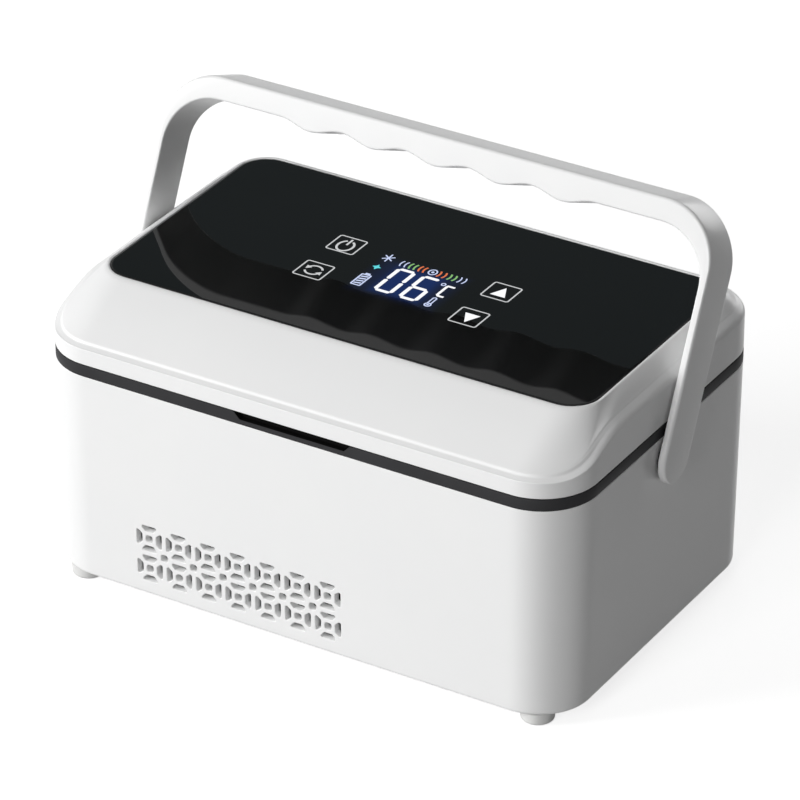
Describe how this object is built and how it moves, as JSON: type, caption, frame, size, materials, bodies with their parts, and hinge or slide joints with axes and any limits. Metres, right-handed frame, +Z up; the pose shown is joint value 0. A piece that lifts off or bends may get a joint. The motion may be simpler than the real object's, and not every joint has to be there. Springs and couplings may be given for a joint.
{
  "type": "insulin cooling case",
  "caption": "White portable insulin cooling case with a dark glass touch lid hinged at the rear, petal-cut air vents, a dark seam band, rubber feet and a swinging handle with finger grips.",
  "frame": {"origin": "on the ground under the middle of the overall box, at the soles of the feet", "axes": "+X along the length, to the right seen from the front, +Y from the front face to the rear hinges, +Z up"},
  "size_m": [0.2284, 0.152, 0.1635],
  "materials": {
    "white_plastic": "smooth gloss white moulding",
    "dark_plastic": "satin dark moulding",
    "fan_plastic": "matt black moulding",
    "black_glass": "black-backed polished glass",
    "foot_rubber": "pale matt rubber",
    "gasket_rubber": "dark soft rubber",
    "aluminium": "plain satin aluminium",
    "steel": "plated steel",
    "foam": "closed-cell foam",
    "ceramic": "unglazed white ceramic",
    "circuit_board": "green solder resist",
    "battery_wrap": "blue shrink wrap",
    "display_film": "dark blue backlit film"
  },
  "bodies": {
    "case": {"case_shell": "white_plastic", "base_plate": "white_plastic", "foot_front_left": "foot_rubber", "foot_front_right": "foot_rubber", "foot_rear_left": "foot_rubber", "foot_rear_right": "foot_rubber", "base_screw_front_left": "steel", "base_screw_front_right": "steel", "base_screw_rear_left": "steel", "base_screw_rear_right": "steel", "seam_frame": "dark_plastic", "chamber_liner": "aluminium", "insulation_jacket": "foam", "cold_block": "aluminium", "peltier_module": "ceramic", "heat_sink": "aluminium", "control_board": "circuit_board", "power_socket": "dark_plastic", "battery_pack": "battery_wrap", "hinge_pin_left": "steel", "hinge_pin_right": "steel", "pivot_bush_left": "dark_plastic", "pivot_bush_right": "dark_plastic", "fan_frame": "fan_plastic"},
    "fan": {"fan_rotor": "fan_plastic"},
    "lid": {"lid_shell": "white_plastic", "glass_panel": "black_glass", "touch_board": "circuit_board", "display_module": "display_film", "touch_pad_power": "gasket_rubber", "touch_pad_mode": "gasket_rubber", "touch_pad_up": "gasket_rubber", "touch_pad_down": "gasket_rubber", "lid_foam": "foam", "lid_liner": "white_plastic", "lid_gasket": "gasket_rubber", "lid_screw_front_left": "steel", "lid_screw_front_right": "steel", "lid_screw_rear_left": "steel", "lid_screw_rear_right": "steel"},
    "carry_handle": {"handle_bar": "white_plastic", "handle_arm_left": "white_plastic", "handle_arm_right": "white_plastic", "pivot_washer_left": "steel", "pivot_washer_right": "steel", "pivot_screw_left": "steel", "pivot_screw_right": "steel"}
  },
  "joints": [
    {"name": "lid_hinge", "type": "hinge", "parent": "case", "child": "lid", "pos_m": [0, 0.0732, 0.09335], "axis": [-1, 0, 0], "range_deg": [0, 28]},
    {"name": "handle_swing", "type": "hinge", "parent": "case", "child": "carry_handle", "pos_m": [0, -0.003, 0.0796], "axis": [1, 0, 0], "range_deg": [0, 126]},
    {"name": "fan_spin", "type": "hinge", "parent": "case", "child": "fan", "pos_m": [-0.024, -0.031, 0.0166], "axis": [0, 0, 1], "continuous": true}
  ]
}
